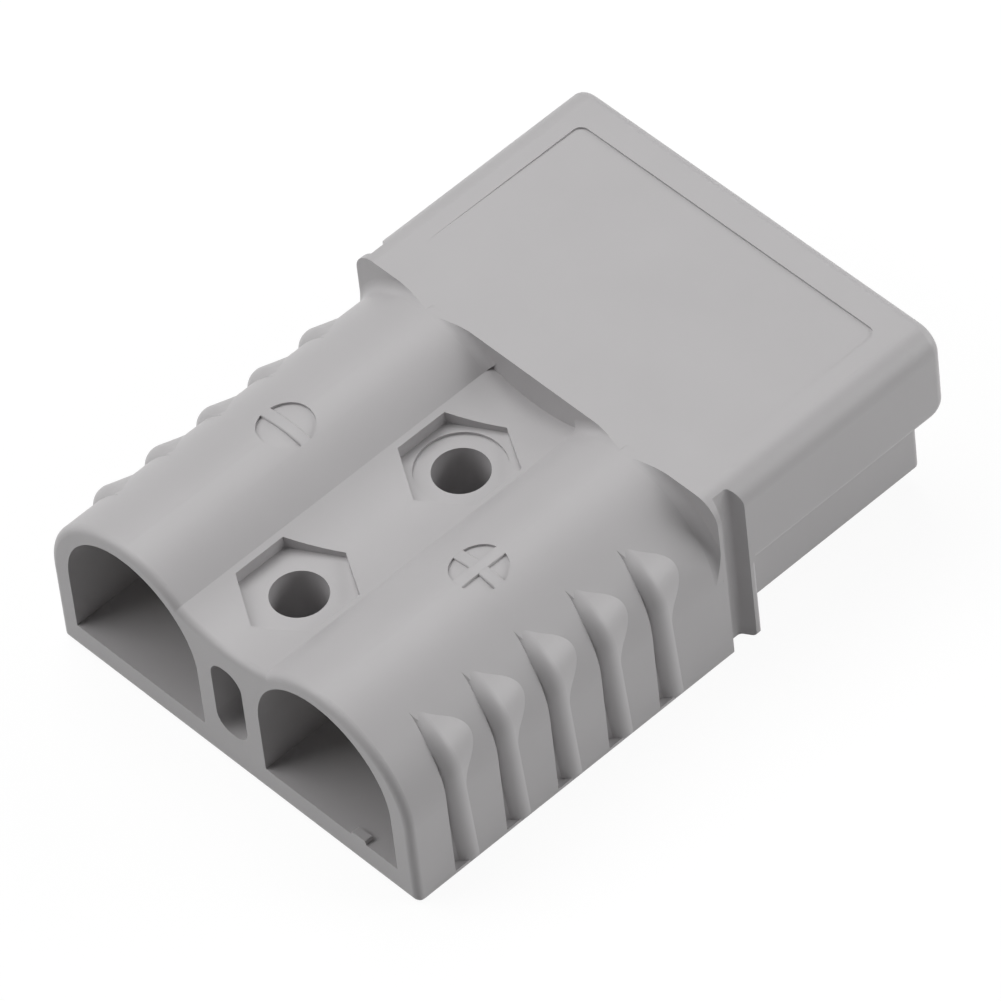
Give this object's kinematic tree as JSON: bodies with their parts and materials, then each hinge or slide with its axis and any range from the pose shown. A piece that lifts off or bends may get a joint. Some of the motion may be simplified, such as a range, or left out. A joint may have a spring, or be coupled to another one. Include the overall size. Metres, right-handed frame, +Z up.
{
  "type": "battery cable plug",
  "caption": "Genderless two-pole battery cable connector with a moulded grey housing, crimp contacts and leaf springs",
  "frame": {"origin": "middle of the flat underside", "axes": "+Y is the mating direction, +X is right seen from the cable end, +Z is up"},
  "size_m": [0.0562, 0.0802, 0.024],
  "materials": {
    "housing_plastic": "injection moulded, satin",
    "contact_silver": "silver plated copper",
    "spring_steel": "rolled stainless strip"
  },
  "bodies": {
    "root": {"housing": "housing_plastic", "contact_left": "contact_silver", "contact_right": "contact_silver", "contact_spring_left": "spring_steel", "contact_spring_right": "spring_steel"}
  },
  "joints": []
}
